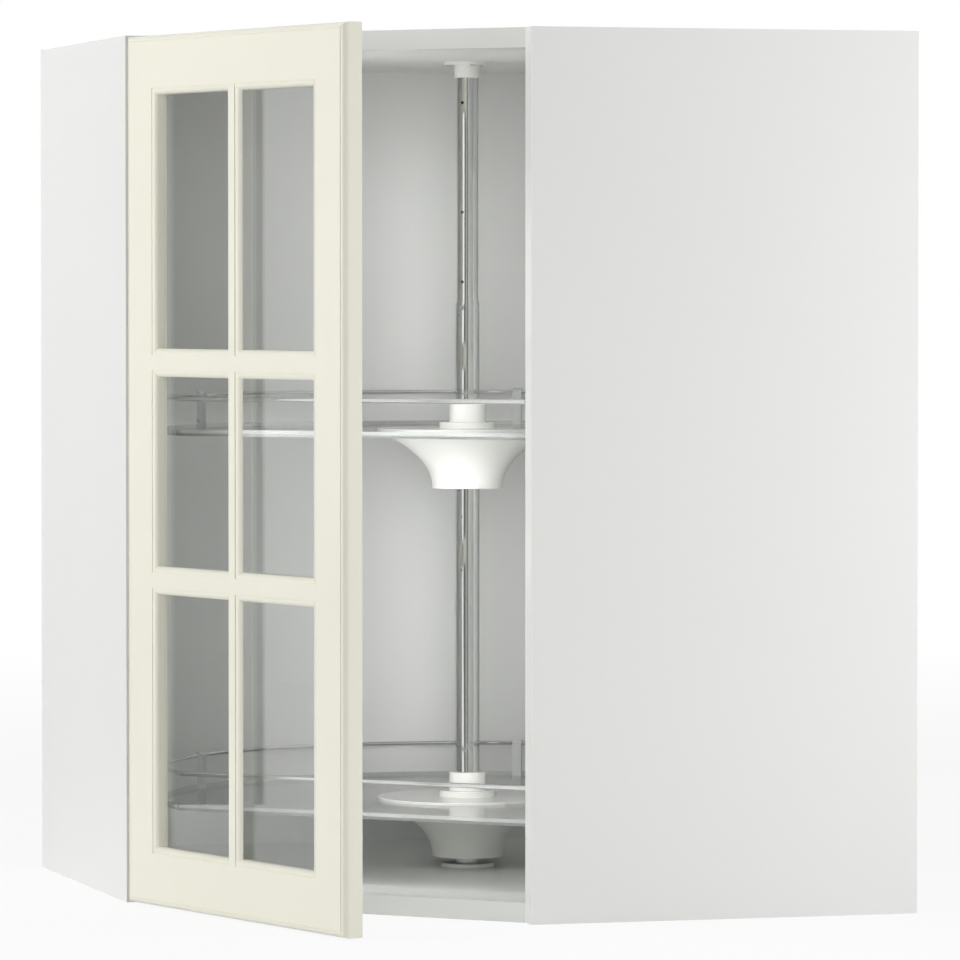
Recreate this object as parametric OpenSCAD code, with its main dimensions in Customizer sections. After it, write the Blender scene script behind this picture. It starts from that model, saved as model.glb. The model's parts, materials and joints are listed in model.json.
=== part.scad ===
// Wall-hung corner cabinet with a diagonal glazed door and two revolving trays.
// Millimetres. The room corner is at x = 0, y = 0; the walls are the planes x = 0 and y = 0,
// and the cabinet fills x > 0, y < 0. The door looks along +X -Y.

/* [Cabinet] */
// Length of the cabinet along each wall
wall_len = 666; // [640:1:700]
// Depth of each side panel from its wall
side_depth = 366; // [350:1:380]
// Height of the cabinet
cab_h = 800; // [780:1:1000]
// Thickness of the side, top and bottom panels
panel_t = 18; // [16:0.5:19]
// Thickness of the back panels
back_t = 3; // [2.5:0.5:4]

/* [Door] */
// Width of the door
door_w = 390; // [380:1:398]
// Height of the door
door_h = 797; // [770:1:797]
// Thickness of the door
door_t = 19; // [18:0.5:20]
// Opening angle of the door as drawn, from closed
open_angle = 29.2; // [0:0.1:95]
// Width of the stiles and rails up to their inner moulding
frame_w = 48.3; // [45:0.1:55]
// Width of the inner moulding
mould_w = 6.2; // [5:0.1:8]
// Height of the bottom and the top panes
end_pane_h = 231.5; // [200:0.5:240]
// Overall width of the upright glazing bar
upright_w = 22.5; // [20:0.5:28]
// Overall width of the cross glazing bars
cross_w = 26; // [20:0.5:28]
// Thickness of the glass
glass_t = 4; // [3:0.5:4]

/* [Hinges] */
// Height of the lower hinge above the cabinet's bottom
low_hinge_z = 100; // [90:1:140]
// Height of the upper hinge above the cabinet's bottom
high_hinge_z = 700; // [660:1:710]
// Diameter of the hinge cup
cup_d = 35; // [35:1:35]

/* [Carousel] */
// Distance of the post from the left wall
post_x = 292.5; // [292:0.5:293]
// Distance of the post from the right wall
post_y = 316.5; // [316:0.5:317]
// Outer diameter of the lower tube of the post
outer_tube_d = 23; // [22:0.5:24]
// Outer diameter of the upper tube of the post
inner_tube_d = 20.4; // [19:0.2:20.6]
// Height at which the lower tube ends
tube_step_z = 554; // [540:1:560]
// Radius of a tray
tray_r = 288; // [280:0.5:288]
// Distance from the post to the straight front edge of a tray
tray_front = 222; // [215:1:230]
// Height of the underside of the lower tray
low_tray_z = 80; // [80:1:90]
// Height of the underside of the upper tray
high_tray_z = 430; // [420:1:440]
// Height of the rail's centre above the underside of its tray
rail_rise = 34.6; // [30:0.1:40]
// Diameter of the rail's wire
rail_d = 4.4; // [4:0.1:5]

/* [Hidden] */
$fn = 64;

WHITE = "#ecece6";
CREAM = "#ebe9da";
STEEL = "#b9bcbd";
CHROME = "#d4d8da";
CLEAR = "#c9d0cf";
WOOD = "#c9a878";

// Cabinet
inner_len = wall_len - panel_t;
inner_top = cab_h - panel_t;
dowel_d = 8;
dowel_len = 30;
cam_d = 15;
cam_t = 12.5;
cam_set = 24;
bolt_hole_d = 7;
cam_bolt_d = 4.8;
bolt_reach = 11;
joint_at = [60, 260];
joint_gap = 32;
batten_w = 28;
wall_plate = [60, 90, 2];
wall_plate_at = [64, 690];
plate_screw_gap = 36;
wall_hole_d = 8;
screw_d = 3.2;

// Door leaf. The u axis runs along the closed door from its hinge edge, v from its back to
// its front. s and m are measured from the outer corner of the left side panel, along the
// diagonal and out of it.
door_z = (cab_h - door_h) / 2;
opening_w = frame_w + mould_w;
step_d = 0.8;
quirk_w = 0.8;
crest_in = 1.2;
crest_d = 0.25;
edge_w = 6;
edge_drop = 6;
mould_drop = 4.8;
glass_front = door_t - 9.4;
rebate_x = opening_w - 7.5;
bar_t = 5;
upright_flat = 10.5;
cross_flat = 14;
closed_s = 12.4;
closed_m = -10.2;
pin_b = [9, 2.5];
link_ratio = -0.5;
cup_u = 20.5;
cup_depth = 11.9;
pin_r = 1.5;
pin_gap = 0.05;
arm_half = 3.2;
ear_in = 6.4;
ear_out = 9.6;
cup_ear_out = 11;
bumper_t = 2.3;

// A plane vector turned by an angle
function turned(p, a) = [p[0] * cos(a) - p[1] * sin(a), p[0] * sin(a) + p[1] * cos(a)];
// Plan position of a point given along and out of the diagonal
function plan(p) = [side_depth + (p[0] + p[1]) / sqrt(2), -wall_len + (p[0] - p[1]) / sqrt(2)];

// Pin A is fixed to the cabinet and pin B to the door. The links turn by link_ratio for each
// degree that the door opens, which carries the door clear of the side panel.
closed_corner = [closed_s, closed_m];
pin_a_plan = closed_corner + pin_b - pin_b / link_ratio;
pin_b_now = pin_a_plan + turned(pin_b / link_ratio, link_ratio * open_angle);
door_corner = pin_b_now - turned(pin_b, open_angle);
pin_a_xy = plan(pin_a_plan);
pin_b_xy = plan(pin_b_now);
link_len = norm(pin_b / link_ratio);
link_dir = atan2(pin_b_xy[1] - pin_a_xy[1], pin_b_xy[0] - pin_a_xy[0]);
hinge_z = [low_hinge_z, high_hinge_z];
arm_rear = 300;
arm_web_front = pin_a_xy[0] - 13;
hinge_plate_x = 324;
hinge_plate_t = 2.5;

// Carousel
outer_r = outer_tube_d / 2;
inner_r = inner_tube_d / 2;
tube_wall = 1;
base_t = 3.5;
base_r = 25;
flange_r = 22.5;
flange_t = 3.1;
socket_r = 12.4;
socket_h = 12;
tube_top = inner_top - 4;
inner_tube_low = 300;
post_hole_d = 3;
upper_holes = [743, 639.5, 573.5];
lower_holes = [351, 301];
button_z = 549;
button_r = 2.3;
button_hole_d = 2 * button_r + 0.16;
button_proud = 0.5;
diagonal = -45;
tray_zs = [low_tray_z, high_tray_z];
lip_h = 6;
lip_t = 3;
plate_t = 2.5;
corner_r = 14;
rail_inset = 2.4;
rail_r = rail_d / 2;
rail_path_r = tray_r - rail_inset - 0.2;
rail_path_f = tray_front - rail_inset;
rail_corner = corner_r - 2;
rail_corner_x = corner_x(rail_path_r, rail_path_f, rail_corner);
rail_turn = corner_turn(rail_path_r, rail_path_f, rail_corner);
weld = 0.08;
weld_turn = 1.5;
sleeve_r = 20;
disc_r = 86;
disc_top = 4.9;
hub_r = 27;
hub_top = 10.6;
collar_r = 17.6;
collar_top = 28;
bore_gap = 0.08;
cone_r = 79;
cone_h = 52;
cone_foot_r = 33.5;
cone_flare = 44.7;
cone_power = 2.16;
cone_wall = 2.5;
cone_steps = 14;
support_low = -14;
support_pin_z = -10;
support_r = 17;
washer_t = 1;
washer_gap = 0.2;
rail_post_turns = [-93.75, -56.25, -18.75, 18.75, 56.25, 93.75];
rail_post_w = 9;
rail_post_t = 5;

// ---- Cabinet ----

// Outline of the space between the side panels, from the rear corner to the diagonal front
module inside_outline(back) {
    polygon([
        [back, -back], [inner_len, -back], [inner_len, -side_depth],
        [side_depth, -inner_len], [back, -inner_len]
    ]);
}

// Calls its children at the joints of one panel edge, shift further from the wall, with the
// joint's own axis along +X
module joint_places(shift) {
    for (d = joint_at)
        translate([0, -d - shift, 0]) rotate([0, 90, 0]) children();
}

// Places children drawn for the inner face of the right side panel at both side panels
module both_sides() {
    translate([inner_len, 0, 0]) children();
    mirror([1, 1, 0]) translate([inner_len, 0, 0]) children();
}

module side_panel() {
    difference() {
        translate([inner_len, -side_depth, 0]) cube([panel_t, side_depth, cab_h]);
        for (z = [panel_t / 2, cab_h - panel_t / 2]) translate([inner_len, 0, z]) {
            joint_places(0) cylinder(d = dowel_d, h = dowel_len, center = true);
            joint_places(joint_gap) cylinder(d = cam_bolt_d, h = 2 * bolt_reach, center = true);
        }
    }
}

module right_side_panel() {
    color(WHITE) side_panel();
}

module left_side_panel() {
    color(WHITE) difference() {
        mirror([1, 1, 0]) side_panel();
        for (z = hinge_z) plate_screw_holes(z);
    }
}

// A horizontal panel with its underside at z and its cam pockets at cam_z
module flat_panel(z, cam_z) {
    difference() {
        translate([0, 0, z]) linear_extrude(panel_t) inside_outline(back_t);
        both_sides() translate([0, 0, z + panel_t / 2]) {
            joint_places(0) cylinder(d = dowel_d, h = dowel_len, center = true);
            joint_places(joint_gap) cylinder(d = bolt_hole_d, h = 2 * cam_set, center = true);
        }
        translate([0, 0, cam_z]) cam_places() cylinder(d = cam_d, h = cam_t);
    }
}

// Calls its children at the centre of each cam lock
module cam_places() {
    both_sides() for (d = joint_at) translate([-cam_set, -d - joint_gap, 0]) children();
}

module bottom_panel() {
    color(WHITE) difference() {
        flat_panel(0, 0);
        base_screw_places() translate([0, 0, panel_t - 12]) cylinder(d = 3.2, h = 13);
    }
}

module top_panel() {
    color(WHITE) difference() {
        flat_panel(inner_top, cab_h - cam_t);
        bracket_screw_places() translate([0, 0, inner_top - 1]) cylinder(d = 3.2, h = 13);
    }
}

module left_back_panel() {
    color(WHITE) difference() {
        translate([0, -inner_len, 0]) cube([back_t, inner_len - back_t, cab_h]);
        left_wall_holes();
        left_plate_screw_holes();
    }
}

module right_back_panel() {
    color(WHITE) difference() {
        translate([0, -back_t, 0]) cube([inner_len, back_t, cab_h]);
        mirror([1, 1, 0]) left_wall_holes();
        mirror([1, 1, 0]) left_plate_screw_holes();
    }
}

module corner_batten() {
    color(WHITE) translate([back_t, -back_t - batten_w, panel_t])
        cube([batten_w, batten_w, cab_h - 2 * panel_t]);
}

module panel_dowels() {
    color(WOOD) for (z = [panel_t / 2, cab_h - panel_t / 2])
        both_sides() translate([0, 0, z]) joint_places(0)
            cylinder(d = dowel_d, h = dowel_len - 1, center = true);
}

// A cam lock: a disc with a screwdriver cross, and the bolt that it draws in
module cam_lock() {
    difference() {
        cylinder(d = cam_d - 0.2, h = cam_t - 0.3);
        for (a = [0, 90])
            rotate([0, 0, a]) translate([-4, -0.8, cam_t - 2.3]) cube([8, 1.6, 3]);
        translate([0, 0, cam_t - panel_t / 2]) rotate([0, 90, 0])
            cylinder(d = bolt_hole_d, h = cam_d);
    }
    translate([0, 0, cam_t - panel_t / 2]) rotate([0, 90, 0])
        cylinder(d = cam_bolt_d, h = cam_set + bolt_reach);
}

module cam_locks() {
    color(STEEL) {
        translate([0, 0, cam_t]) mirror([0, 0, 1]) cam_places() cam_lock();
        translate([0, 0, cab_h - cam_t]) cam_places() cam_lock();
    }
}

// Wall holes at both ends of the left back panel, near the top
module left_wall_holes() {
    for (y = [wall_plate_at[0] + back_t, inner_len - wall_plate_at[0]])
        translate([-1, -y, wall_plate_at[1] + wall_plate[1] / 2]) rotate([0, 90, 0])
            cylinder(d = wall_hole_d, h = 20);
}

module left_plate_screw_holes() {
    left_wall_plate_places() for (t = [-plate_screw_gap, plate_screw_gap])
        translate([t, 0, -back_t - 1]) cylinder(d = screw_d, h = back_t + 2);
}

// Calls its children at the middle of each wall plate, with +Z out of the wall
module left_wall_plate_places() {
    for (y = [wall_plate_at[0] + back_t, inner_len - wall_plate_at[0]])
        translate([back_t, -y, wall_plate_at[1] + wall_plate[1] / 2]) rotate([0, 90, 0]) children();
}

module wall_plate_places() {
    left_wall_plate_places() children();
    mirror([1, 1, 0]) left_wall_plate_places() children();
}

// Steel plates that spread the load of the wall fixings over the back panels
module wall_plates() {
    color(STEEL) wall_plate_places() difference() {
        translate([-wall_plate[1] / 2, -wall_plate[0] / 2, 0])
            cube([wall_plate[1], wall_plate[0], wall_plate[2]]);
        translate([0, 0, -1]) cylinder(d = wall_hole_d, h = 5);
        for (t = [-plate_screw_gap, plate_screw_gap])
            translate([t, 0, -1]) cylinder(d = screw_d, h = 5);
    }
}

module wall_plate_screws() {
    color(STEEL) wall_plate_places()
        for (t = [-plate_screw_gap, plate_screw_gap]) translate([t, 0, 0]) {
            translate([0, 0, wall_plate[2]]) cylinder(d1 = 6.4, d2 = 4.4, h = 1.8);
            translate([0, 0, -back_t]) cylinder(d = screw_d, h = wall_plate[2] + back_t);
        }
}

// ---- Door ----

// Moves a leaf drawn in u, v, z to the door's place
module door_place() {
    corner = plan(door_corner);
    translate([corner[0], corner[1], door_z]) rotate([0, 0, 45 - open_angle]) mirror([0, 1, 0])
        children();
}

// The outer edge of the door, rounded, with a fine groove beside the flat: how far in from the
// edge, how far from the back
edge_steps = 6;
edge_profile = concat(
    [[0, 0]],
    [for (i = [0 : edge_steps]) [
        (edge_w - crest_in) * (1 - cos(90 * i / edge_steps)),
        door_t - crest_d - edge_drop + edge_drop * sin(90 * i / edge_steps)
    ]],
    [[edge_w - quirk_w, door_t - step_d], [edge_w, door_t - step_d], [edge_w, door_t]]
);

// Section of a stile or rail: x from its outer edge, y from the back of the door
module frame_section() {
    n = 6;
    polygon(concat(
        edge_profile,
        [[frame_w, door_t], [frame_w, door_t - step_d], [frame_w + quirk_w, door_t - step_d]],
        [for (i = [0 : n]) [
            frame_w + crest_in + (mould_w - crest_in) * sin(90 * i / n),
            door_t - mould_drop + (mould_drop - crest_d) * cos(90 * i / n)
        ]],
        [[opening_w, glass_front], [rebate_x, glass_front], [rebate_x, 0]]
    ));
}

// Section of the door from its foot to its top: x from the back of the door, y up
module end_section() {
    last = len(edge_profile) - 1;
    polygon(concat(
        [for (p = edge_profile) [p[1], p[0]]],
        [for (i = [last : -1 : 0]) [edge_profile[i][1], door_h - edge_profile[i][0]]]
    ));
}

// The hinge stile at its full height, its inner moulding mitred to meet the rails
module stile() {
    difference() {
        intersection() {
            linear_extrude(door_h) frame_section();
            translate([-1, 0, 0]) rotate([90, 0, 90]) linear_extrude(opening_w + 2)
                end_section();
        }
        for (m = [0, 1])
            translate([0, 0, m * door_h]) mirror([0, 0, m]) mitre_cut(false);
    }
}

// Takes off the corner past the mitre, of a stile or of a rail
module mitre_cut(of_rail) {
    reach = 80;
    rotate([90, 0, 0]) translate([0, 0, -reach / 2 - 10]) linear_extrude(reach)
        if (of_rail) polygon([[rebate_x, rebate_x], [reach, reach], [rebate_x, reach]]);
        else polygon([
            [rebate_x, -1], [reach, -1], [reach, reach], [rebate_x, rebate_x]
        ]);
}

// The bottom rail between the stiles
module rail() {
    difference() {
        translate([rebate_x, 0, 0]) rotate([90, 0, 90])
            linear_extrude(door_w - 2 * rebate_x) mirror([1, 0, 0]) rotate([0, 0, 90])
                frame_section();
        for (m = [0, 1]) translate([m * door_w, 0, 0]) mirror([m, 0, 0]) mitre_cut(true);
    }
}

module far_stile() {
    translate([door_w, 0, 0]) mirror([1, 0, 0]) stile();
}

module far_rail() {
    translate([0, 0, door_h]) mirror([0, 0, 1]) rail();
}

module hinge_stile() {
    color(CREAM) door_place() difference() {
        stile();
        for (z = hinge_z) translate([cup_u, 0, z - door_z]) rotate([-90, 0, 0]) {
            translate([0, 0, -1]) cylinder(d = cup_d + 0.1, h = cup_depth + 1.1);
            cup_screw_places() translate([0, 0, -1]) cylinder(d = 2.6, h = 11);
        }
    }
}

module free_stile() {
    color(CREAM) door_place() far_stile();
}

module bottom_rail() {
    color(CREAM) door_place() rail();
}

module top_rail() {
    color(CREAM) door_place() far_rail();
}

// Section of a glazing bar of width w with its front flat, centred on x
module bar_section(w, flat) {
    n = 5;
    side = [for (i = [0 : n]) [
        flat / 2 + (w - flat) / 2 * sin(90 * i / n),
        door_t - bar_t + (bar_t - step_d) * cos(90 * i / n)
    ]];
    polygon(concat(
        [[-flat / 2, door_t], [flat / 2, door_t]],
        side,
        [for (i = [n : -1 : 0]) [-side[i][0], side[i][1]]]
    ));
}

// A glazing bar up the middle of the door
module upright_bar() {
    translate([door_w / 2, 0, frame_w]) linear_extrude(door_h - 2 * frame_w)
        bar_section(upright_w, upright_flat);
}

// A glazing bar across the door with its middle at z
module cross_bar(z) {
    translate([frame_w, 0, z]) rotate([90, 0, 90]) linear_extrude(door_w - 2 * frame_w)
        mirror([1, 0, 0]) rotate([0, 0, 90]) bar_section(cross_w, cross_flat);
}

module door_members() {
    stile();
    far_stile();
    rail();
    far_rail();
}

module vertical_bar() {
    color(CREAM) door_place() difference() {
        upright_bar();
        door_members();
    }
}

module cross_bar_piece(z) {
    color(CREAM) door_place() difference() {
        cross_bar(z);
        door_members();
        upright_bar();
    }
}

module lower_bar() {
    cross_bar_piece(opening_w + end_pane_h + cross_w / 2);
}

module upper_bar() {
    cross_bar_piece(door_h - opening_w - end_pane_h - cross_w / 2);
}

module door_glass() {
    edge = rebate_x + 1;
    color(CLEAR, 0.4) door_place() translate([edge, glass_front - glass_t, edge])
        cube([door_w - 2 * edge, glass_t, door_h - 2 * edge]);
}

// Strips that hold the glass in its rebate
module glazing_beads() {
    low = 3.2;
    wide = 4;
    deep = glass_front - glass_t - low;
    x0 = rebate_x + 0.2;
    color(CREAM) door_place() {
        for (x = [x0, door_w - x0 - wide])
            translate([x, low, x0]) cube([wide, deep, door_h - 2 * x0]);
        for (z = [x0, door_h - x0 - wide])
            translate([x0 + wide, low, z]) cube([door_w - 2 * (x0 + wide), deep, wide]);
    }
}

module door_bumpers() {
    color("#d9d9d2", 0.8) door_place()
        for (z = [panel_t / 2 - door_z, cab_h - panel_t / 2 - door_z])
            translate([door_w - 16, 0, z]) rotate([90, 0, 0]) cylinder(d = 8, h = bumper_t);
}

// ---- Hinges ----

module cup_screw_places() {
    for (t = [-24, 24]) translate([5, t, 0]) children();
}

// A drawn steel cup with its flange on the back of the door, two ears for pin B and a notch in
// its rim that the link lies in when the door is wide open
module hinge_cup() {
    ear_u = pin_b[0] - cup_u;
    ear_w = 6.4;
    difference() {
        union() {
            difference() {
                union() {
                    cylinder(d = cup_d, h = cup_depth);
                    translate([-9, -30, -1.2]) cube([24, 60, 1.2]);
                    translate([0, 0, -1.2]) cylinder(d = cup_d + 1, h = 1.2);
                }
                translate([0, 0, -2]) cylinder(d = cup_d - 1.6, h = cup_depth + 1);
                cup_screw_places() translate([0, 0, -2]) cylinder(d = 3, h = 4);
            }
            for (t = [-cup_ear_out, ear_in])
                intersection() {
                    translate([ear_u - ear_w / 2, t, 0.2])
                        cube([ear_w, cup_ear_out - ear_in, cup_depth - 0.4]);
                    cylinder(d = cup_d - 0.4, h = cup_depth);
                }
        }
        translate([ear_u, 0, pin_b[1]]) rotate([90, 0, 0])
            cylinder(r = pin_r + pin_gap, h = 3 * cup_ear_out, center = true);
        translate([-cup_d / 2 - 1.5, -7, -2]) cube([3.9, 14, 3.4]);
    }
}

module hinge_cups() {
    color(CHROME) door_place() for (z = hinge_z)
        translate([cup_u, 0, z - door_z]) rotate([-90, 0, 0]) hinge_cup();
}

module hinge_cup_screws() {
    color(CHROME) door_place() for (z = hinge_z)
        translate([cup_u, 0, z - door_z]) rotate([-90, 0, 0]) cup_screw_places() {
            translate([0, 0, -2.6]) cylinder(d1 = 4, d2 = 6, h = 1.4);
            translate([0, 0, -1.2]) cylinder(d = 2.6, h = 11);
        }
}

// A bar between pins A and B with a round eye at each end
module hinge_link() {
    difference() {
        union() {
            cylinder(r = 2.6, h = 12, center = true);
            translate([link_len, 0, 0]) cylinder(r = 2.6, h = 12, center = true);
            translate([0, -1.1, -6]) cube([link_len, 2.2, 12]);
        }
        for (x = [0, link_len]) translate([x, 0, 0])
            cylinder(r = pin_r, h = 20, center = true);
    }
}

module hinge_links() {
    color(STEEL) for (z = hinge_z)
        translate([pin_a_xy[0], pin_a_xy[1], z]) rotate([0, 0, link_dir]) hinge_link();
}

module hinge_pins() {
    color(CHROME) for (z = hinge_z) {
        translate([pin_a_xy[0], pin_a_xy[1], z])
            cylinder(r = pin_r, h = 2 * ear_out, center = true);
        translate([pin_b_xy[0], pin_b_xy[1], z])
            cylinder(r = pin_r, h = 2 * cup_ear_out - 1, center = true);
    }
}

// The arm runs from pin A straight back beside the panel
module hinge_arm(z) {
    y = pin_a_xy[1];
    difference() {
        union() {
            translate([arm_rear, y - arm_half, z - ear_out])
                cube([arm_web_front - arm_rear, 2 * arm_half, 2 * ear_out]);
            for (t = [-ear_out, ear_in]) {
                translate([arm_web_front - 2, y - arm_half, z + t])
                    cube([pin_a_xy[0] - arm_web_front + 2, 2 * arm_half, ear_out - ear_in]);
                translate([pin_a_xy[0], y, z + t]) cylinder(r = arm_half, h = ear_out - ear_in);
            }
        }
        translate([pin_a_xy[0], y, z])
            cylinder(r = pin_r + pin_gap, h = 3 * ear_out, center = true);
    }
}

module hinge_arms() {
    color(CHROME) for (z = hinge_z) hinge_arm(z);
}

module plate_screw_places(z) {
    for (t = [-16, 16])
        translate([hinge_plate_x, -inner_len, z + t]) rotate([-90, 0, 0]) children();
}

module plate_screw_holes(z) {
    plate_screw_places(z) translate([0, 0, -11]) cylinder(d = 5, h = 12);
}

// The plate on the side panel, with the block that carries the arm
module hinge_plates() {
    arm_low = pin_a_xy[1] - arm_half;
    color(CHROME) for (z = hinge_z) difference() {
        union() {
            translate([hinge_plate_x - 11, -inner_len, z - 22])
                cube([22, hinge_plate_t, 44]);
            translate([arm_rear + 2, -inner_len, z - 8])
                cube([48, arm_low + inner_len, 16]);
        }
        plate_screw_places(z) translate([0, 0, -1]) cylinder(d = 5, h = 8);
    }
}

module hinge_plate_screws() {
    color(STEEL) for (z = hinge_z) plate_screw_places(z) {
        translate([0, 0, -10.5]) cylinder(d = 5, h = 10.5 + hinge_plate_t);
        translate([0, 0, hinge_plate_t]) cylinder(d1 = 7.6, d2 = 6, h = 1.4);
    }
}

// ---- Post ----

module at_post(z) {
    translate([post_x, -post_y, z]) children();
}

module base_screw_places() {
    for (a = [75, 195, 315]) at_post(0) rotate([0, 0, a]) translate([18, 0, 0]) children();
}

module bracket_screw_places() {
    for (a = [0, 120, 240]) at_post(0) rotate([0, 0, a]) translate([17.6, 0, 0]) children();
}

module base_plate() {
    color(WHITE) difference() {
        at_post(panel_t) union() {
            cylinder(r = base_r, h = base_t, $fn = 96);
            cylinder(r = outer_r - tube_wall, h = 20);
        }
        base_screw_places() translate([0, 0, panel_t - 1]) cylinder(d = 3.4, h = 6);
        base_screw_places() translate([0, 0, panel_t + base_t - 1.6])
            cylinder(d1 = 3.4, d2 = 6.6, h = 1.61);
    }
}

module base_plate_screws() {
    color(STEEL) base_screw_places() {
        translate([0, 0, panel_t - 11]) cylinder(d = 3.2, h = 11 + base_t - 1.6);
        translate([0, 0, panel_t + base_t - 1.6]) cylinder(d1 = 3.2, d2 = 6.4, h = 1.5);
    }
}

module top_bracket() {
    color(WHITE) difference() {
        at_post(0) union() {
            translate([0, 0, inner_top - flange_t]) cylinder(r = flange_r, h = flange_t, $fn = 96);
            translate([0, 0, inner_top - flange_t - socket_h])
                cylinder(r = socket_r, h = socket_h);
        }
        at_post(0) translate([0, 0, inner_top - flange_t - socket_h - 1])
            cylinder(r = inner_r, h = tube_top - (inner_top - flange_t - socket_h) + 1);
        bracket_screw_places() translate([0, 0, inner_top - 5]) cylinder(d = 3.4, h = 6);
    }
}

module top_bracket_screws() {
    color(STEEL) bracket_screw_places() {
        translate([0, 0, inner_top - flange_t - 1]) cylinder(d1 = 4.4, d2 = 6, h = 1);
        translate([0, 0, inner_top - flange_t]) cylinder(d = 3.2, h = 14);
    }
}

// A tube on the post's axis, bored through both walls' front for each hole
module post_tube(r, low, high, holes) {
    difference() {
        at_post(low) cylinder(r = r, h = high - low);
        at_post(low - 1) cylinder(r = r - tube_wall, h = high - low + 2);
        for (h = holes) at_post(h[0]) rotate([0, 0, diagonal]) rotate([0, 90, 0])
            cylinder(d = h[1], h = r + 2);
    }
}

module inner_tube() {
    color(CHROME) post_tube(inner_r, inner_tube_low, tube_top,
        concat([for (z = upper_holes) [z, post_hole_d]], [[button_z, button_hole_d]]));
}

module outer_tube() {
    color(CHROME) difference() {
        post_tube(outer_r, panel_t + base_t, tube_step_z, concat(
            [for (z = lower_holes) [z, post_hole_d]],
            [[button_z, button_hole_d]],
            [for (z = tray_zs) [z + support_pin_z, post_hole_d]]
        ));
        at_post(button_z - 7) rotate([0, 0, diagonal - 18]) rotate([0, 90, 0])
            cylinder(d = 1.2, h = outer_r + 2);
    }
}

// Spring button that locks the two tubes together
module lock_button() {
    color(STEEL) at_post(button_z) rotate([0, 0, diagonal]) rotate([0, 90, 0]) {
        translate([0, 0, inner_r - tube_wall - 2.6]) cylinder(r = 3.1, h = 1.4);
        translate([0, 0, inner_r - tube_wall - 2])
            cylinder(r = button_r, h = outer_r - inner_r + tube_wall + 2 + button_proud);
    }
}

// ---- Trays ----

// Points round an arc about c, from one turn to another in n steps
function arc(c, r, from, to, n) =
    [for (i = [0 : n]) c + r * [cos(from + (to - from) * i / n), sin(from + (to - from) * i / n)]];

// How far to the side of the post a tray's corner is rounded from, and the turn at which its
// round edge meets that corner
function corner_x(r, f, c) = sqrt(pow(r - c, 2) - pow(f - c, 2));
function corner_turn(r, f, c) = atan2(c - f, corner_x(r, f, c));

// Plan of a tray: a circle of radius r cut straight at -Y, distance f from its centre, with its
// two corners rounded to radius c
module tray_outline(r, f, c) {
    x = corner_x(r, f, c);
    turn = corner_turn(r, f, c);
    polygon(concat(
        arc([0, 0], r, turn, 180 - turn, 96),
        arc([-x, c - f], c, 180 - turn + 6, 270, 8),
        arc([x, c - f], c, -90, turn - 6, 8)
    ));
}

// Moves a tray drawn about the post, with its straight front at -Y, to its place
module tray_place(z) {
    at_post(z) rotate([0, 0, 45]) children();
}

module hub_screw_places() {
    for (a = [30, 150, 270]) rotate([0, 0, a]) translate([23.5, 0, 0]) children();
}

// The clear tray: a plate with a lip round it
module tray(z) {
    color(CLEAR, 0.45) tray_place(z) difference() {
        linear_extrude(lip_h) tray_outline(tray_r, tray_front, corner_r);
        translate([0, 0, plate_t]) linear_extrude(lip_h)
            tray_outline(tray_r - lip_t, tray_front - lip_t, corner_r - lip_t);
        translate([0, 0, -1]) cylinder(r = sleeve_r, h = lip_h + 2);
        hub_screw_places() translate([0, 0, -1]) cylinder(d = screw_d, h = lip_h + 2);
    }
}

// The hub, a wide disc on the tray with the sleeve that turns on the post
module hub(z) {
    bore = outer_r + bore_gap;
    color(WHITE) tray_place(z) difference() {
        rotate_extrude($fn = 96) polygon([
            [bore, -2], [sleeve_r, -2], [sleeve_r, plate_t], [disc_r, plate_t],
            [disc_r, disc_top - 0.6], [disc_r - 0.6, disc_top], [hub_r, disc_top],
            [hub_r, hub_top - 0.6], [hub_r - 0.6, hub_top], [collar_r, hub_top],
            [collar_r - 0.3, collar_top - 0.6], [collar_r - 0.9, collar_top], [bore, collar_top]
        ]);
        hub_screw_places() cylinder(d = screw_d, h = 8);
    }
}

// Radius of the cone at t, from 0 at its flange to 1 at its foot
function cone_at(t) = cone_foot_r + cone_flare * pow(1 - t, cone_power);

// The trumpet-shaped cone under the tray
module cone(z) {
    color(WHITE) tray_place(z) difference() {
        rotate_extrude($fn = 96) polygon(concat(
            [[sleeve_r, 0], [cone_r, 0], [cone_r, -1]],
            [for (i = [0 : cone_steps])
                [cone_at(i / cone_steps), -1 - (cone_h - 1) * i / cone_steps]],
            [for (i = [cone_steps : -1 : 1])
                [cone_at(i / cone_steps) - cone_wall, -1 - (cone_h - 1) * i / cone_steps]],
            [[cone_at(1 / cone_steps) - 2 * cone_wall, -cone_wall], [sleeve_r, -cone_wall]]
        ));
        hub_screw_places() translate([0, 0, -4]) cylinder(d = screw_d, h = 6);
    }
}

module hub_screws(z) {
    color(STEEL) tray_place(z) hub_screw_places() {
        translate([0, 0, -cone_wall - 1.4]) cylinder(d1 = 4.4, d2 = 6, h = 1.4);
        translate([0, 0, -cone_wall]) cylinder(d = screw_d, h = 8 + cone_wall);
    }
}

// A round wire bent to radius r about z, from one turn to another
module bent_wire(r, from, to, thick) {
    rotate([0, 0, from]) rotate_extrude(angle = to - from, $fn = 180)
        translate([r, 0]) circle(r = rail_r + thick, $fn = 24);
}

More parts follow.
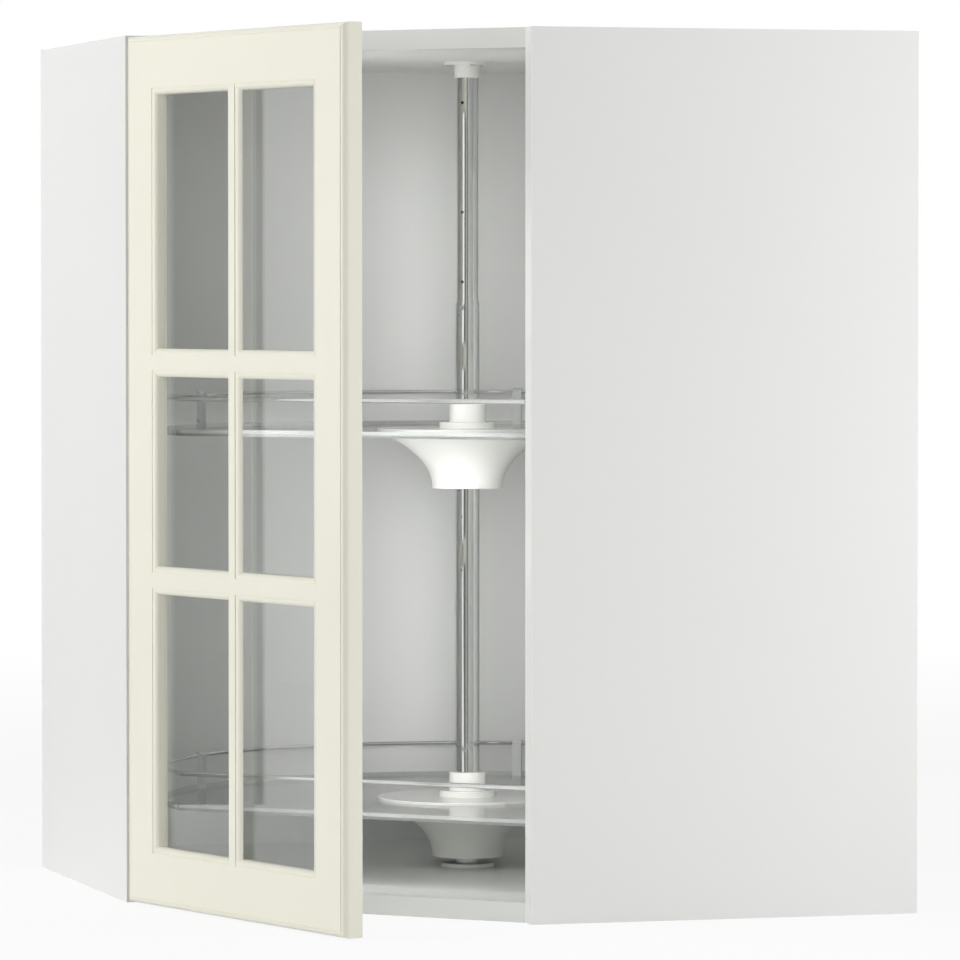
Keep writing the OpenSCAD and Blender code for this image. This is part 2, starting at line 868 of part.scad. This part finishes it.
// The wire rail that follows the tray's edge. Its two corner bends are a hair thicker and run
// just over the ends of the other stretches, as at a ground weld.
module rail_wire(z) {
    color(CHROME) tray_place(z + rail_rise) {
        bent_wire(rail_path_r, rail_turn, 180 - rail_turn, 0);
        translate([rail_corner_x, rail_corner - rail_path_f, 0])
            bent_wire(rail_corner, -90 - weld_turn, rail_turn + weld_turn, weld);
        translate([-rail_corner_x, rail_corner - rail_path_f, 0])
            bent_wire(rail_corner, 180 - rail_turn - weld_turn, 270 + weld_turn, weld);
        translate([0, -rail_path_f, 0]) rotate([0, 90, 0])
            cylinder(r = rail_r, h = 2 * rail_corner_x, center = true, $fn = 24);
    }
}

// Clips that stand on the tray and hold its rail
module rail_posts(z) {
    low = plate_t;
    inner = tray_r - lip_t - rail_post_t - 0.2;
    color(WHITE, 0.8) tray_place(z) for (a = rail_post_turns) rotate([0, 0, 90 + a])
        difference() {
            union() {
                translate([inner, -rail_post_w / 2, low])
                    cube([rail_post_t, rail_post_w, rail_rise - low]);
                intersection() {
                    translate([rail_path_r, 0, rail_rise]) rotate([90, 0, 0])
                        cylinder(r = rail_r + 1.4, h = rail_post_w, center = true);
                    cylinder(r = tray_r - 0.2, h = 2 * rail_rise, $fn = 180);
                }
            }
            translate([rail_path_r, 0, rail_rise]) rotate([90, 0, 0])
                cylinder(r = rail_r, h = 2 * rail_post_w, center = true);
        }
}

// The collar pinned to the post, on which the hub turns
module support_collar(z) {
    color(WHITE) at_post(z) difference() {
        translate([0, 0, support_low])
            cylinder(r = support_r, h = -2 - washer_gap - washer_t - support_low);
        translate([0, 0, support_low - 1]) cylinder(r = outer_r, h = 20);
        translate([0, 0, support_pin_z]) rotate([0, 0, diagonal]) rotate([0, 90, 0])
            cylinder(d = post_hole_d, h = 2 * support_r);
    }
}

module glide_washer(z) {
    color(STEEL) at_post(z - 2 - washer_gap - washer_t) difference() {
        cylinder(r = support_r, h = washer_t);
        translate([0, 0, -1]) cylinder(r = outer_r, h = 4);
    }
}

module support_pins() {
    start = outer_r - tube_wall;
    color(STEEL) for (z = tray_zs) at_post(z + support_pin_z)
        rotate([0, 0, diagonal]) rotate([0, 90, 0])
            translate([0, 0, start]) cylinder(d = post_hole_d, h = support_r - start);
}

module lower_tray() { tray(low_tray_z); }
module upper_tray() { tray(high_tray_z); }
module lower_hub() { hub(low_tray_z); }
module upper_hub() { hub(high_tray_z); }
module lower_cone() { cone(low_tray_z); }
module upper_cone() { cone(high_tray_z); }
module lower_rail() { rail_wire(low_tray_z); }
module upper_rail() { rail_wire(high_tray_z); }
module lower_rail_posts() { rail_posts(low_tray_z); }
module upper_rail_posts() { rail_posts(high_tray_z); }
module lower_hub_screws() { hub_screws(low_tray_z); }
module upper_hub_screws() { hub_screws(high_tray_z); }
module lower_support_collar() { support_collar(low_tray_z); }
module upper_support_collar() { support_collar(high_tray_z); }
module lower_glide_washer() { glide_washer(low_tray_z); }
module upper_glide_washer() { glide_washer(high_tray_z); }

left_side_panel();
right_side_panel();
top_panel();
bottom_panel();
left_back_panel();
right_back_panel();
corner_batten();
panel_dowels();
cam_locks();
wall_plates();
wall_plate_screws();
hinge_plates();
hinge_arms();
hinge_plate_screws();
hinge_links();
hinge_pins();
hinge_cups();
hinge_cup_screws();
hinge_stile();
free_stile();
top_rail();
bottom_rail();
vertical_bar();
upper_bar();
lower_bar();
door_glass();
glazing_beads();
door_bumpers();
top_bracket();
top_bracket_screws();
inner_tube();
outer_tube();
lock_button();
base_plate();
base_plate_screws();
lower_support_collar();
upper_support_collar();
support_pins();
lower_glide_washer();
upper_glide_washer();
lower_tray();
lower_hub();
lower_cone();
lower_rail();
lower_rail_posts();
lower_hub_screws();
upper_tray();
upper_hub();
upper_cone();
upper_rail();
upper_rail_posts();
upper_hub_screws();
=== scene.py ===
import json
import math

import bpy
from mathutils import Matrix, Vector


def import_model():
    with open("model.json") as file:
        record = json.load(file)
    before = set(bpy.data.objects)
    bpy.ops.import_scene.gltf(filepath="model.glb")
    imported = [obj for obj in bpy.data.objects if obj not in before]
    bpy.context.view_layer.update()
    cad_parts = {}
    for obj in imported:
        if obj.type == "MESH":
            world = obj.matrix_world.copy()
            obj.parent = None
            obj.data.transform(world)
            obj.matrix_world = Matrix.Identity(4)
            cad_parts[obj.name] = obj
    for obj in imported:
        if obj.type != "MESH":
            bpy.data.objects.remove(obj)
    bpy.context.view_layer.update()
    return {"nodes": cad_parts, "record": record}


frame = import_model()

# The camera: its place in metres, heading and pitch, then lens and sensor in millimetres
EYE = Vector((5.9417, -1.9575, 0.566))
HEADING = math.radians(163.687)
PITCH = math.radians(-1.758)
LENS = 232.34
SENSOR = 36
CLIP_END = 100

# Tones as they are drawn, in linear light
WHITE = (0.82, 0.825, 0.805)
BACK_WHITE = (0.80, 0.80, 0.785)
CREAM = (0.84, 0.825, 0.715)
PLASTIC = (0.84, 0.84, 0.81)
CHROME = (0.86, 0.87, 0.87)
NICKEL = (0.74, 0.72, 0.68)
ZINC = (0.66, 0.67, 0.68)
BEECH = (0.55, 0.38, 0.22)

# The two tones that clear pieces vary between, and the tone of the light in their shadow
GLASS = ((0.955, 0.972, 0.965), (0.975, 0.985, 0.98))
GLASS_SHADOW = (0.93, 0.95, 0.94, 1)
RESIN = ((0.90, 0.915, 0.905), (0.95, 0.96, 0.95))
RESIN_SHADOW = (0.9, 0.91, 0.9, 1)

# Most of a noise lies between these values
NOISE_LOW = 0.3
NOISE_HIGH = 0.7

# Finishes of the nodes that don't have the plain finish of their slot
OWN_FINISH = {
    "top_rail": "door_paint_cross",
    "bottom_rail": "door_paint_cross",
    "upper_bar": "door_paint_cross",
    "lower_bar": "door_paint_cross",
    "lower_rail_posts": "soft_clear",
    "upper_rail_posts": "soft_clear",
    "lower_hub": "gloss_plastic",
    "upper_hub": "gloss_plastic",
}

# Soft lamps: name, place, point aimed at, width and height in metres, power in watts and the
# angle in degrees that the light spreads over. The inside lamps stand clear of the shut door.
LAMPS = (
    ("door_side", (0.1, -3.6, 1.3), (0.4, -0.6, 0.4), (2.2, 2.2), 78, 180),
    ("front", (4.6, -1.1, 0.9), (0.3, -0.3, 0.4), (1.6, 1.6), 28, 180),
    ("rear_side", (1.75, 1.1, 0.6), (0.666, 0.0, 0.4), (1.2, 1.2), 20, 180),
    ("inside_front", (0.515, -0.505, 0.34), (0.0, 0.0, 0.34), (0.34, 0.50), 0.45, 180),
    ("inside_hinge", (0.42, -0.585, 0.45), (0.49, -0.13, 0.45), (0.06, 0.60), 0.7, 180),
    ("inside_middle", (0.57, -0.42, 0.42), (0.0, -0.247, 0.40), (0.13, 0.64), 0.15, 28),
    ("above", (0.5, -0.5, 3.0), (0.4, -0.4, 0.8), (2.0, 2.0), 18, 180),
)
SKY_LIGHT = 0.15

# Glowing cards that only reflections show, which paint dark reflections: name, middle, heading in
# degrees, width in metres and the glow strength at either edge. The post mirrors the first through
# the opening as a painted reflection of shade, and the left panes mirror the second, whose painted
# reflection darkens them.
CARDS = (
    ("card_before_opening", (1.3845, -0.814, 0.5), 155.5, 0.9, (0.34, 0.06)),
    ("card_beside_door", (-0.62, -1.24, 0.4), 48, 0.85, (0.02, 0.02)),
)
CARD_HEIGHT = 2.6

# The floor in metres: how far it reaches, how far it lies under the object, and the distances
# between which its own light goes from the near share to all of it
FLOOR_REACH = 30.0
FLOOR_DROP = 0.0005
FLOOR_TONES = (0.80, 0.82)
FADE_NEAR = 1.2
FADE_FAR = 3.5
NEAR_SHARE = 0.9


# ---- Shader nodes ----

def fill(node, values):
    """Sets a node's sockets; values name them, with _ for a space."""
    for key, value in values.items():
        node.inputs[key.replace("_", " ")].default_value = value


class Nodes:
    """Short calls that add and join the shader nodes of one material or world."""

    def __init__(self, owner):
        owner.use_nodes = True
        self.owner = owner
        self.tree = owner.node_tree

    def add(self, kind, settings=None, **values):
        """Adds a node with its settings; values name its sockets, with _ for a space."""
        node = self.tree.nodes.new(kind)
        for key, value in (settings or {}).items():
            setattr(node, key, value)
        fill(node, values)
        return node

    def join(self, source, target):
        self.tree.links.new(source, target)

    def ramp(self, source, low, high, start=NOISE_LOW, end=NOISE_HIGH):
        """Turns a value from start to end into one from low to high."""
        node = self.add("ShaderNodeMapRange", From_Min=start, From_Max=end, To_Min=low, To_Max=high)
        self.join(source, node.inputs["Value"])
        return node.outputs["Result"]

    def combine(self, operation, first, second):
        """One number made from two."""
        node = self.add("ShaderNodeMath", {"operation": operation})
        self.join(first, node.inputs[0])
        self.join(second, node.inputs[1])
        return node.outputs[0]

    def blend(self, share, first, second):
        """Shows the second shader by a share, and the first by the rest."""
        node = self.add("ShaderNodeMixShader")
        for source, socket in zip((share, first, second), node.inputs):
            self.join(source, socket)
        return node.outputs[0]

    def seen_directly(self):
        """1 for rays that show the thing itself, in metal and glass too, and 0 for others."""
        rays = self.add("ShaderNodeLightPath").outputs
        either = self.combine("MAXIMUM", rays["Is Camera Ray"], rays["Is Glossy Ray"])
        return self.combine("MAXIMUM", either, rays["Is Transmission Ray"])


class Finish(Nodes):
    """The nodes of a new material."""

    def __init__(self, name):
        super().__init__(bpy.data.materials.new(name))
        self.shader = self.tree.nodes["Principled BSDF"]

    def show(self, surface):
        self.join(surface, self.tree.nodes["Material Output"].inputs["Surface"])

    def place(self, scale=(1, 1, 1)):
        """Object coordinates, in metres, stretched by scale."""
        coords = self.add("ShaderNodeTexCoord")
        mapping = self.add("ShaderNodeMapping", Scale=scale)
        self.join(coords.outputs["Object"], mapping.inputs["Vector"])
        return mapping.outputs["Vector"]

    def noise(self, vector, scale, detail, roughness=0.5):
        node = self.add("ShaderNodeTexNoise", Scale=scale, Detail=detail, Roughness=roughness)
        self.join(vector, node.inputs["Vector"])
        return node.outputs["Fac"]

    def set(self, **values):
        fill(self.shader, values)

    def paint(self, pattern, dark, light):
        """Colours the surface between two tones by a noise."""
        node = self.add("ShaderNodeMix", {"data_type": "RGBA"})
        tones = {"A": dark, "B": light}
        for socket in node.inputs:
            if socket.name in tones and socket.type == "RGBA":
                socket.default_value = (*tones[socket.name], 1)
        self.join(self.ramp(pattern, 0, 1), node.inputs["Factor"])
        mixed = [socket for socket in node.outputs if socket.type == "RGBA"][0]
        self.join(mixed, self.shader.inputs["Base Color"])

    def rough(self, pattern, low, high):
        """Varies the roughness between two values by a noise."""
        self.join(self.ramp(pattern, low, high), self.shader.inputs["Roughness"])

    def bump(self, pattern, distance, strength):
        """Raises the surface by a noise, at most by a distance in metres."""
        node = self.add("ShaderNodeBump", Strength=strength, Distance=distance)
        self.join(pattern, node.inputs["Height"])
        self.join(node.outputs["Normal"], self.shader.inputs["Normal"])

    def clear_shadow(self, tone):
        """Lets light through to what lies behind, so that a clear piece casts a faint shadow."""
        rays = self.add("ShaderNodeLightPath").outputs
        clear = self.add("ShaderNodeBsdfTransparent", Color=tone)
        self.show(self.blend(rays["Is Shadow Ray"], self.shader.outputs[0], clear.outputs[0]))


# ---- Finishes ----

def shade(tone, factor):
    return tuple(c * factor for c in tone)


def laminate(name, tone, roughness):
    """Melamine-faced board: an even tone with a fine pearl grain in its surface."""
    m = Finish(name)
    m.paint(m.noise(m.place(), scale=2.2, detail=2), shade(tone, 0.985), tone)
    grain = m.noise(m.place((1, 1, 0.35)), scale=900, detail=3)
    m.rough(grain, roughness - 0.05, roughness + 0.06)
    m.bump(grain, distance=0.00003, strength=0.5)
    m.set(Specular_IOR_Level=0.35)
    return m.owner


def lacquer(name, tone, stretch):
    """Satin paint on wood, with a brushed grain that runs along the wood."""
    m = Finish(name)
    grain = m.noise(m.place(stretch), scale=420, detail=5, roughness=0.6)
    m.paint(m.noise(m.place(), scale=5, detail=2), shade(tone, 0.975), tone)
    m.rough(grain, 0.34, 0.46)
    m.bump(grain, distance=0.00006, strength=0.6)
    m.set(Specular_IOR_Level=0.4, Coat_Weight=0.12, Coat_Roughness=0.25)
    return m.owner


def moulded(name, tone, roughness):
    """Injection-moulded plastic with a faint orange peel."""
    m = Finish(name)
    m.paint(m.noise(m.place(), scale=14, detail=2), shade(tone, 0.98), tone)
    peel = m.noise(m.place(), scale=700, detail=2)
    m.rough(peel, roughness - 0.04, roughness + 0.05)
    m.bump(peel, distance=0.00003, strength=0.4)
    m.set(Specular_IOR_Level=0.45)
    return m.owner


def metal(name, tone, roughness, grain, stretch=(1, 1, 1)):
    """Plated metal: a smooth mirror broken by fine polishing lines."""
    m = Finish(name)
    lines = m.noise(m.place(stretch), scale=grain, detail=4)
    m.paint(lines, shade(tone, 0.96), tone)
    m.rough(lines, roughness * 0.8, roughness * 1.3)
    m.bump(lines, distance=0.00001, strength=0.3)
    m.set(Metallic=1.0)
    return m.owner


def sheet_glass(name):
    """Clear float glass with a slight waviness."""
    m = Finish(name)
    wave = m.noise(m.place(), scale=3, detail=1)
    m.paint(wave, *GLASS)
    m.bump(wave, distance=0.0002, strength=0.02)
    m.set(Transmission_Weight=1.0, Roughness=0.0, IOR=1.5)
    m.clear_shadow(GLASS_SHADOW)
    return m.owner


def clear_plastic(name, haze, roughness):
    """Clear moulded plastic, milky by the share haze."""
    m = Finish(name)
    flow = m.noise(m.place(), scale=9, detail=3)
    m.paint(flow, *RESIN)
    m.rough(flow, 0.6 * roughness, 1.4 * roughness)
    m.set(Transmission_Weight=1.0 - haze, IOR=1.46)
    m.clear_shadow(RESIN_SHADOW)
    return m.owner


def wood(name, tone):
    """Bare beech with its short flecks."""
    m = Finish(name)
    fleck = m.noise(m.place((1, 1, 8)), scale=260, detail=4)
    m.paint(fleck, shade(tone, 0.7), tone)
    m.rough(fleck, 0.55, 0.75)
    m.bump(fleck, distance=0.0001, strength=0.4)
    return m.owner


def all_finishes():
    """The finish of each material slot of the record, and those that OWN_FINISH names."""
    upright = (1, 1, 0.05)
    crosswise = (0.08, 0.08, 1)
    makers = {
        "white_laminate": (laminate, dict(tone=WHITE, roughness=0.42)),
        "back_board": (laminate, dict(tone=BACK_WHITE, roughness=0.5)),
        "door_glass": (sheet_glass, {}),
        "clear_plastic": (clear_plastic, dict(haze=0.2, roughness=0.1)),
        "white_plastic": (moulded, dict(tone=PLASTIC, roughness=0.38)),
        "chrome": (metal, dict(tone=CHROME, roughness=0.06, grain=500, stretch=upright)),
        "nickel_plate": (metal, dict(tone=NICKEL, roughness=0.2, grain=300)),
        "zinc_steel": (metal, dict(tone=ZINC, roughness=0.3, grain=400)),
        "soft_clear": (clear_plastic, dict(haze=0.65, roughness=0.25)),
        "gloss_plastic": (moulded, dict(tone=PLASTIC, roughness=0.12)),
        "dowel_wood": (wood, dict(tone=BEECH)),
        "door_paint": (lacquer, dict(tone=CREAM, stretch=upright)),
        "door_paint_cross": (lacquer, dict(tone=CREAM, stretch=crosswise)),
    }
    return {name: make(name, **values) for name, (make, values) in makers.items()}


def dress_nodes():
    """Gives every CAD node its finish."""
    finishes = all_finishes()
    for part in frame["record"]["subparts"]:
        name = part["node"]
        mesh = frame["nodes"][name].data
        mesh.materials.clear()
        mesh.materials.append(finishes[OWN_FINISH.get(name, part["material_slot"])])


# ---- Studio ----

def camera():
    data = bpy.data.cameras.new("camera")
    data.sensor_width = SENSOR
    data.lens = LENS
    data.clip_end = CLIP_END
    eye = bpy.data.objects.new("camera", data)
    level = math.cos(PITCH)
    ahead = Vector((math.cos(HEADING) * level, math.sin(HEADING) * level, math.sin(PITCH)))
    eye.matrix_world = Matrix.Translation(EYE) @ ahead.to_track_quat("-Z", "Y").to_matrix().to_4x4()
    bpy.context.scene.collection.objects.link(eye)
    bpy.context.scene.camera = eye


def world():
    """White behind the object, and a faint even light on it."""
    sky = Nodes(bpy.data.worlds.new("studio"))
    bpy.context.scene.world = sky.owner
    background = sky.tree.nodes["Background"]
    fill(background, {"Color": (1, 1, 1, 1)})
    strength = sky.ramp(sky.seen_directly(), SKY_LIGHT, 1.0, start=0, end=1)
    sky.join(strength, background.inputs["Strength"])


def flat_panel(name, material, corners):
    """One flat face of the studio."""
    mesh = bpy.data.meshes.new(name)
    mesh.from_pydata(corners, [], [(0, 1, 2, 3)])
    mesh.materials.append(material)
    panel = bpy.data.objects.new(name, mesh)
    bpy.context.scene.collection.objects.link(panel)
    return panel


def card(name, middle, facing, width, tones):
    """An upright glowing card that only reflections show, a painted reflection, of two glow
    strengths that blend across it.
    """
    turn = math.radians(facing + 90)
    aside = Vector((math.cos(turn), math.sin(turn), 0)) * width / 2
    up = Vector((0, 0, CARD_HEIGHT / 2))
    m = Finish(name)
    across = m.add("ShaderNodeVectorMath", {"operation": "DOT_PRODUCT"})
    across.inputs[1].default_value = aside / aside.length_squared
    m.join(m.add("ShaderNodeTexCoord").outputs["Object"], across.inputs[0])
    # The glow paints a dark reflection; diffuse rays and shadows don't see the card.
    glow = m.add("ShaderNodeEmission")
    strength = m.ramp(across.outputs["Value"], *tones, start=-1, end=1)
    m.join(strength, glow.inputs["Strength"])
    m.show(glow.outputs[0])
    sheet = flat_panel(name, m.owner, (-aside - up, aside - up, aside + up, up - aside))
    sheet.location = middle
    sheet.visible_camera = False
    sheet.visible_diffuse = False
    sheet.visible_shadow = False


def floor():
    """A white floor that keeps the object's shadow and is plain white further out."""
    m = Finish("floor")
    speck = m.add("ShaderNodeTexNoise", Scale=3.0)
    tone = m.ramp(speck.outputs["Fac"], *FLOOR_TONES, start=0, end=1)
    m.join(tone, m.shader.inputs["Base Color"])
    m.set(Roughness=0.9, Specular_IOR_Level=0.0)
    distance = m.add("ShaderNodeVectorMath", {"operation": "LENGTH"})
    m.join(m.add("ShaderNodeTexCoord").outputs["Object"], distance.inputs[0])
    fade = m.ramp(distance.outputs["Value"], NEAR_SHARE, 1.0, start=FADE_NEAR, end=FADE_FAR)
    share = m.combine("MULTIPLY", m.seen_directly(), fade)
    glow = m.add("ShaderNodeEmission", Strength=1.0)
    m.show(m.blend(share, m.shader.outputs[0], glow.outputs[0]))
    sides = ((-1, -1), (1, -1), (1, 1), (-1, 1))
    corners = [(x * FLOOR_REACH, y * FLOOR_REACH, -FLOOR_DROP) for x, y in sides]
    flat_panel("floor", m.owner, corners)


def softbox(name, spot, target, size, power, spread):
    """A soft lamp at spot that points at target and shows in nothing."""
    data = bpy.data.lights.new(name, "AREA")
    data.shape = "RECTANGLE"
    data.size, data.size_y = size
    data.energy = power
    data.spread = math.radians(spread)
    lamp = bpy.data.objects.new(name, data)
    aim = (Vector(target) - Vector(spot)).to_track_quat("-Z", "Y")
    lamp.matrix_world = Matrix.Translation(spot) @ aim.to_matrix().to_4x4()
    bpy.context.scene.collection.objects.link(lamp)
    lamp.visible_camera = False
    lamp.visible_glossy = False
    lamp.visible_transmission = False


def studio():
    camera()
    world()
    floor()
    for lamp in LAMPS:
        softbox(*lamp)
    for sheet in CARDS:
        card(*sheet)


bpy.context.scene.view_settings.view_transform = "Standard"
dress_nodes()
studio()
